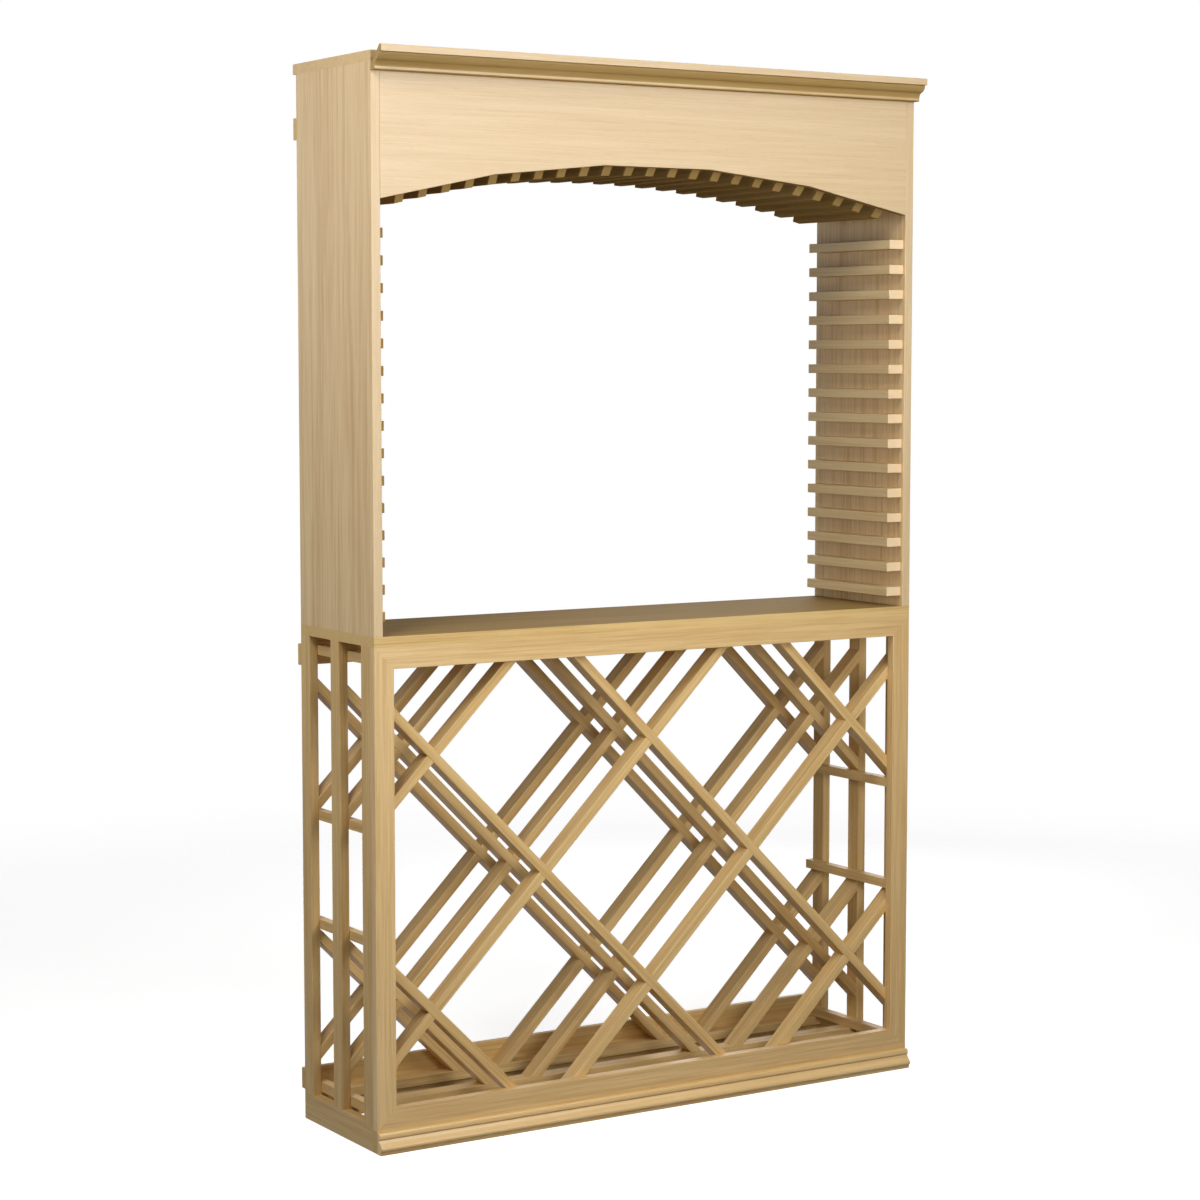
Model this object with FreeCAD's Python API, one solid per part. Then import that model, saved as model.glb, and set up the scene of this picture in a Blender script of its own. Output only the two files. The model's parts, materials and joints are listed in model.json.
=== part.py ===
import FreeCAD
import Part
import math
import os

# Tasting station: an open diamond bin below, a table top, and an arched display above.
# Millimetres. X runs across the front, -Y is the front, +Z is up.
# The origin is on the floor, in the middle of the overall width and depth.

# Overall sizes
carcass_width = 1165.0         # across the outer faces of the two sides
carcass_depth = 285.0          # front edges to rear edges of the sides
carcass_height = 1906.0        # floor to the upper face of the top board
table_height = 908.0           # floor to the upper face of the table top

# Boards
panel_thickness = 17.5         # side panels of the upper part
valance_thickness = 17.5       # arched front board
arch_board_thickness = 17.5    # rib behind the valance and arched board at the rear
table_thickness = 18.5
top_board_thickness = 18.5

# Stick stock of the posts, rails, stretchers, lattice bars, battens and slats
stock_thickness = 17.5
stock_width = 33.0

# Face frame around the bin
frame_thickness = 17.5
frame_member_width = 38.5

# Plinth and base moulding
plinth_height = 48.5
stretcher_rise = 36.5          # floor to the underside of the lower stretchers
base_moulding_height = 40.0    # floor to the face frame, which starts just above the moulding

# Lattice
diamond_diagonal = 457.2       # point to point of one diamond

# Wall cleats across the rear
cleat_thickness = 12.7
cleat_height = 38.5
upper_cleat_drop = 95.0        # top of the top board to the top of the upper cleat
wall_hole_spacing = 812.8      # two studs, 32 in apart
wall_hole_diameter = 5.5

# Arch and slats
valance_height = 230.5         # top board to the valance's lower edge at the side panels
arch_rise = 74.0               # springing to the top of the circle that the facets touch
arch_facets = 5                # straight chords in the valance's lower edge
slat_pitch = 47.5              # along the arch
slat_drop = 17.0               # how far the slats hang below the arch circle
slat_bevel = 13.5              # how far the slats' front ends slope back below the valance
slat_end_gap = 10.0            # least room between the last slat and a side panel
rib_cover = 25.0               # wood left above the middle of the arch in the rib behind the valance

# Battens on the side panels
batten_pitch = 47.5
batten_first_gap = 20.0        # table top to the lowest batten
batten_last_gap = 20.0         # least room under the springing of the arch
right_batten_setback = 6.5     # front edge of the side panel to the battens' front ends
left_batten_setback = 54.0
batten_rear_setback = 19.5

# Crown moulding: a sprung profile that leans out over a hollow
crown_height = 41.0
crown_projection = 40.0
crown_rise = 6.5               # above the upper face of the top board
crown_top_flat = 7.0           # level top edge, before the back slopes away
crown_seat_height = 5.0        # upright face at the foot of the back, against the front
crown_fillet_height = 12.0     # square band along the top of the crown
crown_fillet_step = 7.0        # how far that band stands proud of the curve below it
crown_lip_height = 3.0         # straight stretch between that band and the curve
crown_turn_projection = 23.0   # where the curve turns from hollow to round
crown_bead_projection = 16.0
crown_bead_height = 6.0
crown_bead_round = 3.0
ogee_bulge = 1.9               # how far each half of the crown's curve leaves its chord
crown_block_length = 40.0      # glue blocks in the hollow behind the crown
crown_block_pitch = 300.0
crown_block_inset = 60.0       # least room from a block to an end of the crown

# Base moulding profile: a foot strip, a rounded nose, a slope, a groove and a bead
base_strip_projection = 12.3
base_strip_height = 7.5
base_nose_step = 2.0           # how far the nose's underside stands out from the foot strip
base_nose_projection = 14.5    # where the nose turns into the slope
base_nose_height = 15.0
base_nose_bulge = 2.0
base_slope_bulge = 0.5
base_groove_projection = 5.2
base_groove_height = 26.0
base_bead_step = 2.4           # how far the bead's foot stands out from the groove
base_bead_lift = 1.5           # how far the bead's foot lies above the groove
base_bead_bulge = 1.4
base_top_projection = 6.1
base_top_drop = 2.6            # start of the face frame to the level top of the bead

# Countersunk wood screws
screw_diameter = 4.0
screw_length = 40.0            # cleats, table top and top board
short_screw_length = 28.0      # upper cleat into the arched rear board
screw_point = 7.0
screw_tip_diameter = 1.0
screw_head_diameter = 8.0
screw_head_height = 2.5
cleat_screw_offset = 10.0      # above and below the middle of a cleat
short_screw_spacing = 440.0
top_screw_inset = 57.0         # front and rear edges of a side panel to the outer screws in its top

# Places worked out from the sizes above
overall_depth = crown_projection + carcass_depth + cleat_thickness
front = -overall_depth / 2 + crown_projection
rear = front + carcass_depth
wall = rear + cleat_thickness
side = carcass_width / 2
post_inner = side - stock_thickness
panel_inner = side - panel_thickness
frame_back = front + frame_thickness
valance_back = front + valance_thickness
table_underside = table_height - table_thickness
ceiling = carcass_height - top_board_thickness
springing = ceiling - valance_height
bin_floor = stretcher_rise + stock_thickness
bin_ceiling = table_underside - stock_thickness
lattice_middle = (bin_floor + bin_ceiling) / 2
layer_gap = (rear - frame_back - 3 * stock_width) / 2
layer_fronts = [frame_back + i * (stock_width + layer_gap) for i in range(3)]
layer_names = ["front", "middle", "rear"]
up = FreeCAD.Vector(0, 0, 1)
down = FreeCAD.Vector(0, 0, -1)
inward = FreeCAD.Vector(0, -1, 0)

nodes = {}


def box(x0, x1, y0, y1, z0, z1):
    return Part.makeBox(x1 - x0, y1 - y0, z1 - z0, FreeCAD.Vector(x0, y0, z0))


def mirrored(shape):
    """The same piece on the other side of the station."""
    return shape.mirror(FreeCAD.Vector(0, 0, 0), FreeCAD.Vector(1, 0, 0))


def prism_along_y(points, y0, y1):
    """Extrude an outline of (x, z) points from y0 to y1."""
    corners = [FreeCAD.Vector(x, y0, z) for x, z in points]
    face = Part.Face(Part.makePolygon(corners + corners[:1]))
    return face.extrude(FreeCAD.Vector(0, y1 - y0, 0))


def arc_with_bulge(start, end, bulge):
    """Arc between two (y, z) points, standing off its chord by bulge to the left of the way it runs."""
    dy, dz = end[0] - start[0], end[1] - start[1]
    length = math.hypot(dy, dz)
    middle = ((start[0] + end[0]) / 2 - dz / length * bulge, (start[1] + end[1]) / 2 + dy / length * bulge)
    return Part.Arc(*[FreeCAD.Vector(-side, y, z) for y, z in (start, middle, end)]).toShape()


def straight(start, end):
    return Part.makeLine(FreeCAD.Vector(-side, *start), FreeCAD.Vector(-side, *end))


def moulding(edges):
    """Run a closed profile along the whole width."""
    face = Part.Face(Part.Wire(edges))
    return face.extrude(FreeCAD.Vector(carcass_width, 0, 0))


# Plinth and base moulding

def build_plinth():
    nodes["plinth_front"] = box(-side, side, front, frame_back, 0, base_moulding_height)
    nodes["plinth_rear"] = box(-post_inner, post_inner, rear - stock_thickness, rear, 0, stretcher_rise)
    nodes["plinth_left"] = box(-side, -post_inner, frame_back, rear, 0, plinth_height)
    nodes["plinth_right"] = mirrored(nodes["plinth_left"])


def build_base_moulding():
    moulding_top = base_moulding_height - base_top_drop
    back_foot = (front, 0)
    strip_foot = (front - base_strip_projection, 0)
    strip_top = (front - base_strip_projection, base_strip_height)
    nose_foot = (front - base_strip_projection - base_nose_step, base_strip_height)
    nose = (front - base_nose_projection, base_nose_height)
    groove = (front - base_groove_projection, base_groove_height)
    bead = (groove[0] - base_bead_step, groove[1] + base_bead_lift)
    top = (front - base_top_projection, moulding_top)
    back_top = (front, moulding_top)
    nodes["base_moulding"] = moulding([
        straight(back_foot, strip_foot),
        straight(strip_foot, strip_top),
        straight(strip_top, nose_foot),
        arc_with_bulge(nose_foot, nose, base_nose_bulge),
        arc_with_bulge(nose, groove, -base_slope_bulge),
        straight(groove, bead),
        arc_with_bulge(bead, top, base_bead_bulge),
        straight(top, back_top),
        straight(back_top, back_foot),
    ])


# Side frames of the bin

def build_posts():
    for name, y in zip(layer_names, layer_fronts):
        post = box(-side, -post_inner, y, y + stock_width, plinth_height, table_underside)
        nodes["post_left_" + name] = post
        nodes["post_right_" + name] = mirrored(post)


def bearer_rise():
    """Height of the upper bearer's middle above the middle of the lattice.

    It seats the bar end that meets the side nearest to the middle: from below, or from above where the
    upper and lower bar ends leave no room between them for two bearers.
    """
    half_bar = stock_thickness / math.sqrt(2)
    half_diagonal = diamond_diagonal / 2
    odd_steps = 2 * round((post_inner / half_diagonal - 1) / 2) + 1
    bar_end = abs(odd_steps * half_diagonal - post_inner)
    below = bar_end - half_bar - stock_thickness / 2
    above = bar_end + half_bar + stock_thickness / 2
    return below if below >= stock_thickness / 2 else above


def build_side_rails():
    rise = bearer_rise()
    middles = {
        "bottom": bin_floor + stock_thickness / 2,
        "lower": lattice_middle - rise,
        "upper": lattice_middle + rise,
        "top": bin_ceiling - stock_thickness / 2,
    }
    for name, z in middles.items():
        rail = box(-post_inner, -post_inner + stock_thickness, frame_back, rear,
                   z - stock_thickness / 2, z + stock_thickness / 2)
        nodes["side_rail_left_" + name] = rail
        nodes["side_rail_right_" + name] = mirrored(rail)


def build_stretchers():
    for name, y in zip(layer_names, layer_fronts):
        for level, z in (("bottom", stretcher_rise), ("top", bin_ceiling)):
            stretcher = box(-post_inner, post_inner, y, y + stock_width, z, z + stock_thickness)
            nodes[level + "_stretcher_" + name] = stretcher


# Diamond lattice: three identical layers of crossing bars, half-lapped flush

def lattice_strip(slope, offset, y0, y1):
    """A bar at 45 degrees, longer than the bin, whose middle line is z = slope * x + offset."""
    reach = carcass_width + table_height
    half = stock_thickness / math.sqrt(2)
    points = [(-reach, -slope * reach + offset - half), (reach, slope * reach + offset - half),
              (reach, slope * reach + offset + half), (-reach, -slope * reach + offset + half)]
    return prism_along_y(points, y0, y1)


def lattice_offsets():
    """Heights at x = 0 of the bars that cross the bin, a whole diagonal apart about its middle."""
    least_end = stock_width
    reach = post_inner + (bin_ceiling - bin_floor) / 2 - least_end
    count = 2 * (int(reach / diamond_diagonal - 0.5) + 1)
    return [lattice_middle + (i - (count - 1) / 2) * diamond_diagonal for i in range(count)]


def build_lattice():
    y0 = layer_fronts[0]
    lap = y0 + stock_width / 2
    y1 = y0 + stock_width
    room = box(-post_inner, post_inner, y0, y1, bin_floor, bin_ceiling)
    rails = [shape for name, shape in nodes.items() if name.startswith("side_rail_")]
    room = room.cut(rails)
    offsets = lattice_offsets()
    rising_laps = [lattice_strip(1, offset, lap, y1) for offset in offsets]
    falling_laps = [lattice_strip(-1, offset, y0, lap) for offset in offsets]
    for number, offset in enumerate(offsets, 1):
        bars = {
            "lattice_rising_%d" % number: lattice_strip(1, offset, y0, y1).common(room).cut(falling_laps),
            "lattice_falling_%d" % number: lattice_strip(-1, offset, y0, y1).common(room).cut(rising_laps),
        }
        for name, bar in bars.items():
            layers = [bar.translated(FreeCAD.Vector(0, y - y0, 0)) for y in layer_fronts]
            nodes[name] = Part.makeCompound([solid for layer in layers for solid in layer.Solids])


# Mitred face frame

def build_face_frame():
    outer = [(-side, base_moulding_height), (side, base_moulding_height),
             (side, table_underside), (-side, table_underside)]
    w = frame_member_width
    inner = [(-side + w, base_moulding_height + w), (side - w, base_moulding_height + w),
             (side - w, table_underside - w), (-side + w, table_underside - w)]
    names = ["face_rail_bottom", "face_stile_right", "face_rail_top", "face_stile_left"]
    for i, name in enumerate(names):
        j = (i + 1) % len(names)
        nodes[name] = prism_along_y([outer[i], outer[j], inner[j], inner[i]], front, frame_back)


# Table top and upper part

def build_boards():
    nodes["table_top"] = box(-side, side, front, rear, table_underside, table_height)
    nodes["side_panel_left"] = box(-side, -panel_inner, front, rear, table_height, ceiling)
    nodes["side_panel_right"] = mirrored(nodes["side_panel_left"])
    nodes["top_board"] = box(-side, side, front, wall, ceiling, carcass_height)


def battens_on_left_panel(front_setback):
    lowest = table_height + batten_first_gap
    room = springing - batten_last_gap - stock_thickness - lowest
    battens = []
    for i in range(int(room / batten_pitch) + 1):
        z = lowest + i * batten_pitch
        battens.append(box(-panel_inner, -panel_inner + stock_width, front + front_setback,
                           rear - batten_rear_setback, z, z + stock_thickness))
    return Part.makeCompound(battens)


def build_battens():
    nodes["side_battens_left"] = battens_on_left_panel(left_batten_setback)
    nodes["side_battens_right"] = mirrored(battens_on_left_panel(right_batten_setback))


arch_radius = (panel_inner ** 2 + arch_rise ** 2) / (2 * arch_rise)
arch_centre = springing + arch_rise - arch_radius
slat_foot_radius = arch_radius - slat_drop
slat_top_radius = slat_foot_radius + stock_width
slat_step = slat_pitch / arch_radius
half_arc = math.asin(panel_inner / arch_radius) * arch_radius
slats_each_side = int((half_arc - stock_thickness / 2 - slat_end_gap) / slat_pitch)


def build_valance():
    lower_edge = []
    for i in range(arch_facets + 1):
        x = panel_inner * (2 * i / arch_facets - 1)
        lower_edge.append((x, arch_centre + math.sqrt(arch_radius ** 2 - x ** 2)))
    outline = lower_edge + [(panel_inner, ceiling), (-panel_inner, ceiling)]
    nodes["valance"] = prism_along_y(outline, front, valance_back)


def arch_board(y0, y1, top):
    """Board whose lower edge has one flat facet for the top of each slat."""
    corner_radius = slat_top_radius / math.cos(slat_step / 2)
    last = slats_each_side + 1
    lower_edge = []
    for i in range(-last, last + 2):
        angle = (i - 0.5) * slat_step
        lower_edge.append((corner_radius * math.sin(angle), arch_centre + corner_radius * math.cos(angle)))
    outline = lower_edge + [(lower_edge[-1][0], top), (lower_edge[0][0], top)]
    return prism_along_y(outline, y0, y1).common(box(-panel_inner, panel_inner, y0, y1, 0, top))


def build_arch():
    rib_top = arch_centre + slat_top_radius + rib_cover
    nodes["arch_rib_front"] = arch_board(valance_back, valance_back + arch_board_thickness, rib_top)
    nodes["arch_board_rear"] = arch_board(rear - arch_board_thickness, rear, ceiling)
    half = stock_thickness / 2
    foot, shoulder, top = (arch_centre + r for r in (slat_foot_radius, arch_radius, slat_top_radius))
    side_view = [(valance_back, shoulder), (valance_back + slat_bevel, foot), (rear, foot),
                 (rear, top), (valance_back, top)]
    corners = [FreeCAD.Vector(-half, y, z) for y, z in side_view]
    face = Part.Face(Part.makePolygon(corners + corners[:1]))
    middle_slat = face.extrude(FreeCAD.Vector(stock_thickness, 0, 0))
    slats = []
    for i in range(-slats_each_side, slats_each_side + 1):
        slat = middle_slat.copy()
        slat.rotate(FreeCAD.Vector(0, 0, arch_centre), FreeCAD.Vector(0, 1, 0), math.degrees(i * slat_step))
        slats.append(slat)
    nodes["arch_slats"] = Part.makeCompound(slats)


crown_top = carcass_height + crown_rise
crown_foot = crown_top - crown_height
crown_back_top = (front - crown_projection + crown_top_flat, crown_top)
crown_back_foot = (front, crown_foot + crown_seat_height)


def build_crown():
    fillet_foot = crown_top - crown_fillet_height
    lip = fillet_foot - crown_lip_height
    fillet = front - crown_projection
    curve = fillet + crown_fillet_step
    bead = front - crown_bead_projection
    bead_top = crown_foot + crown_bead_height
    bead_round = crown_foot + crown_bead_round
    turn = (front - crown_turn_projection, (bead_top + lip) / 2)
    nodes["crown_moulding"] = moulding([
        straight((front, crown_foot), (bead + crown_bead_round, crown_foot)),
        arc_with_bulge((bead + crown_bead_round, crown_foot), (bead, bead_round),
                       crown_bead_round * (1 - math.sqrt(0.5))),
        straight((bead, bead_round), (bead, bead_top)),
        arc_with_bulge((bead, bead_top), turn, -ogee_bulge),
        arc_with_bulge(turn, (curve, lip), ogee_bulge),
        straight((curve, lip), (curve, fillet_foot)),
        straight((curve, fillet_foot), (fillet, fillet_foot)),
        straight((fillet, fillet_foot), (fillet, crown_top)),
        straight((fillet, crown_top), crown_back_top),
        straight(crown_back_top, crown_back_foot),
        straight(crown_back_foot, (front, crown_foot)),
    ])


def build_crown_blocks():
    """Three-cornered blocks behind the crown, below the upper face of the top board."""
    drop = (crown_top - carcass_height) / (crown_top - crown_back_foot[1])
    reach = crown_back_top[0] + drop * (crown_back_foot[0] - crown_back_top[0])
    section = [crown_back_foot, (front, carcass_height), (reach, carcass_height)]
    each_side = int((side - crown_block_inset - crown_block_length / 2) / crown_block_pitch)
    blocks = []
    for i in range(-each_side, each_side + 1):
        start = i * crown_block_pitch - crown_block_length / 2
        corners = [FreeCAD.Vector(start, y, z) for y, z in section]
        face = Part.Face(Part.makePolygon(corners + corners[:1]))
        blocks.append(face.extrude(FreeCAD.Vector(crown_block_length, 0, 0)))
    nodes["crown_blocks"] = Part.makeCompound(blocks)


# Wall cleats

cleat_feet = {
    "lower": bin_floor,
    "table": bin_ceiling - cleat_height,
    "upper": carcass_height - upper_cleat_drop - cleat_height,
}


def build_cleats():
    for name, z in cleat_feet.items():
        cleat = box(-side, side, rear, wall, z, z + cleat_height)
        if name != "upper":
            for x in (-wall_hole_spacing / 2, wall_hole_spacing / 2):
                start = FreeCAD.Vector(x, wall, z + cleat_height / 2)
                hole = Part.makeCylinder(wall_hole_diameter / 2, cleat_thickness, start, inward)
                cleat = cleat.cut(hole)
        nodes["wall_cleat_" + name] = cleat


# Screws

def screw(head, direction, length):
    """Countersunk screw whose head lies flush at head and whose point lies along direction."""
    neck = head + direction * screw_head_height
    point = head + direction * (length - screw_point)
    shank_radius = screw_diameter / 2
    cone = Part.makeCone(screw_head_diameter / 2, shank_radius, screw_head_height, head, direction)
    shank = Part.makeCylinder(shank_radius, length - screw_point - screw_head_height, neck, direction)
    tip = Part.makeCone(shank_radius, screw_tip_diameter / 2, screw_point, point, direction)
    return cone.fuse([shank, tip]).removeSplitter()


def cleat_screws():
    """Two screws at each end of each cleat, into a rear post or the edge of a side panel."""
    screws = []
    for name, z in cleat_feet.items():
        seat = panel_thickness if name == "upper" else stock_thickness
        for x in (-side + seat / 2, side - seat / 2):
            for offset in (-cleat_screw_offset, cleat_screw_offset):
                head = FreeCAD.Vector(x, wall, z + cleat_height / 2 + offset)
                screws.append(screw(head, inward, screw_length))
    return screws


def panel_screws():
    """Screws into the ends of the side panels: up through the table top and down through the top board."""
    screws = []
    for x in (-side + panel_thickness / 2, side - panel_thickness / 2):
        for y in layer_fronts[1:]:
            head = FreeCAD.Vector(x, y - layer_gap / 2, table_underside)
            screws.append(screw(head, up, screw_length))
        for y in (front + top_screw_inset, (front + rear) / 2, rear - top_screw_inset):
            screws.append(screw(FreeCAD.Vector(x, y, carcass_height), down, screw_length))
    return screws


def arch_board_screws():
    """Short screws from the upper cleat into the arched rear board."""
    z = cleat_feet["upper"] + cleat_height / 2
    places = [FreeCAD.Vector(i * short_screw_spacing, wall, z) for i in (-1, 0, 1)]
    return [screw(place, inward, short_screw_length) for place in places]


def build_screws():
    groups = {"wood_screws": cleat_screws() + panel_screws(), "arch_board_screws": arch_board_screws()}
    for name, shape in nodes.items():
        met = [s for group in groups.values() for s in group if s.BoundBox.intersect(shape.BoundBox)]
        if met:
            nodes[name] = shape.cut(met)
    for name, group in groups.items():
        nodes[name] = Part.makeCompound(group)


build_plinth()
build_base_moulding()
build_posts()
build_side_rails()
build_stretchers()
build_lattice()
build_face_frame()
build_boards()
build_battens()
build_valance()
build_arch()
build_crown()
build_crown_blocks()
build_cleats()
build_screws()

os.makedirs("parts", exist_ok=True)
for name, shape in nodes.items():
    shape.exportStep("parts/%s.step" % name)
print(len(nodes), "nodes,", sum(len(shape.Solids) for shape in nodes.values()), "solids")
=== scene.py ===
"""Finish of a wooden tasting station: eased and grained timber, screws, and a plain studio around it.

Metres. X runs across the front, -Y is the front, +Z is up.
"""

import json
import math
import random

import bmesh
import bpy
from bpy.props import FloatProperty, FloatVectorProperty, IntProperty, PointerProperty
from bpy.types import Operator, Panel, PropertyGroup
from mathutils import Matrix, Vector
from mathutils.bvhtree import BVHTree


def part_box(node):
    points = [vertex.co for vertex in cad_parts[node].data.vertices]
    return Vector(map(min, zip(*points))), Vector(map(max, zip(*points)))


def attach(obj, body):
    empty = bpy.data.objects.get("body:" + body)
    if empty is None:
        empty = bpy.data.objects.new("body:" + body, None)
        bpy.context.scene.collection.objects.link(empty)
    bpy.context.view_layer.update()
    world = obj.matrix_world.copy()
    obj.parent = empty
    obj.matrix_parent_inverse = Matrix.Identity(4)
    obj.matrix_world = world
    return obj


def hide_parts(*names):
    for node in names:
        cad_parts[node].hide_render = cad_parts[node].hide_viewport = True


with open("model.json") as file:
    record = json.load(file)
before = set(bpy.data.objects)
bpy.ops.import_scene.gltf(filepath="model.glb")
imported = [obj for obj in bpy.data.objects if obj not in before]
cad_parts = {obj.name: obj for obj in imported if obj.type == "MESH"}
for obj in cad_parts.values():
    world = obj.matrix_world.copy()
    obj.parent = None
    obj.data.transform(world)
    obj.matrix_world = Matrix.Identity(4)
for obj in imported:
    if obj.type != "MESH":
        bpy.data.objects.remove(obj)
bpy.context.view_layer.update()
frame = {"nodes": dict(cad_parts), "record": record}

bl_info = {
    "name": "Tasting station finish",
    "version": (1, 0, 0),
    "blender": (4, 5, 0),
    "location": "3D View > Sidebar > Station",
    "description": "Eased edges, wood grain and screws of a tasting station, and the studio it stands in",
    "category": "Object",
}

BODY = "root"
BASE_COLOUR = {material["slot"]: material["base_color"] for material in frame["record"]["materials"]}

# How strongly each finish shows its streaks, and which ones depart from the satin gloss and roughness
STREAK_SHARE = {
    "panel": 1.3, "valance": 0.4, "frame": 1.0, "base": 0.5, "crown": 0.5, "board": 1.0, "table": 0.7,
    "stick": 0.9, "batten": 0.8, "slat": 0.8, "ends": 0.4,
}
SATIN_GLOSS = 0.5
GLOSS = {"table": 0.05, "base": 0.7, "crown": 0.1, "stick": 0.1, "board": 0.15, "slat": 0.0}
ROUGHNESS = {"table": "table_roughness", "base": "moulding_roughness", "crown": "moulding_roughness"}

# Directions of the grain and of faces
ACROSS = Vector((1, 0, 0))
BACK = Vector((0, 1, 0))
UP = Vector((0, 0, 1))
RISING = (ACROSS + UP).normalized()
FALLING = (ACROSS - UP).normalized()

# Tolerances for cleaning and easing the solids
WELD = 1e-6
FLAT_ANGLE = math.radians(0.5)
SMOOTH_ANGLE = math.radians(28)
SHORTEST_EASED_EDGE = 0.004
RUNS_ALONG_COSINE = 0.99
PROBE = 0.0005                # how far beside an edge a neighbour is looked for
PROBES_PER_EDGE = 5

# Which faces count as end grain, and which as facing a direction
END_GRAIN_COSINE = 0.6
FACING_COSINE = 0.9
ANY_HEIGHT = (-math.inf, math.inf)

# Parts of the mouldings that take another finish: painted sheen on the crown's band, a paler bead below the
# crown's painted shade, and painted shade on the base moulding's strip and undersides
CROWN_BAND = 0.012            # height of the square band along the crown's top
CROWN_BEAD = 0.006            # height of the bead at its foot
BASE_STRIP = 0.0075           # height of the strip at the foot of the base moulding
BASE_UNDERSIDES = Vector((0.0, -0.28, -0.96))     # close to both undersides on the base moulding's front

# Where a solid lies in its log: along it, and out from its heart
LOG_PLACES = (-20, 20)
HEART_DISTANCES = (0.12, 0.3)
NEAR_BACK_COSINE = 0.5        # grain closer to front-to-rear than this is laid out from UP

# What a mesh tells its wood: name, kind and domain of each attribute
GRAIN_ATTRIBUTES = (
    ("grain", "FLOAT_VECTOR", "POINT"), ("tone", "FLOAT", "POINT"), ("end_grain", "FLOAT", "FACE"),
)

# Noise in the wood: waves per metre along and across the fibres, and its detail
WANDER = (0.9, 9, 3)
BANDS = (1.4, 32, 1)
STREAKS = (3.2, 120, 2)
LINES = (9, 380, 1)
FIBRES = (28, 1300, 2)
PORES = (55, 900, 1)

# How far the wood lies from early to late on the whole, and how far each effect moves it
MEAN_DEPTH = 0.28
TONE_DEPTH = 0.18
RING_DEPTH = 0.3
BAND_DEPTH = 0.9
STREAK_DEPTH = 1.6
LINE_DEPTH = 1.2
FIBRE_DEPTH = 0.4
PORE_DEPTH = 0.25
END_GRAIN_CALM = 0.65         # share of the effects, apart from the tone, that end grain loses

# Growth rings, pores and the lacquer over them
RING_WANDER = 0.016           # how far a ring strays from its circle
LATE_RISE = (0.35, 0.9)       # shares of a ring between which late wood sets in
LATE_FALL = (0.9, 1.0)
WEAKEST_RING = 0.2
PORE_RANGE = (0.62, 0.72)     # values of the noise between which a pore opens
FIBRE_ROUGHNESS = 0.16
END_GRAIN_ROUGHNESS = 0.12
FIBRE_HEIGHT = 0.6
PORE_HEIGHT = -0.5
BUMP_STRENGTH = 0.25
BUMP_DISTANCE = 0.0002

# Zinc plating
MOTTLE_WAVES = 900            # per metre
MOTTLE_DETAIL = 3
MOTTLE_RANGE = (0.2, 0.8)
DULL_SHARE = 0.75
PLATING_ROUGHNESS = (0.28, 0.45)

# Screws
SCREW_SIDES = 24
RINGS_PER_TURN = 6
RIDGE_HALF_WIDTH = 0.3        # share of the thread's pitch
RECESS_TAPER = 0.5            # size of the recess's floor as a share of its mouth
TIP_SHARE = 0.15              # thickness at the tip as a share of the shank's

# Studio
WHITE = (1.0, 1.0, 1.0, 1.0)
SENSOR_WIDTH = 36             # millimetres
FLOOR_SIDES = 96
FLOOR_RINGS = (0.25, 0.5, 0.75, 1.0)
FADE_START, FADE_END = 0.25, 0.95     # shares of the floor's radius


# Settings that a user would change

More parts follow.
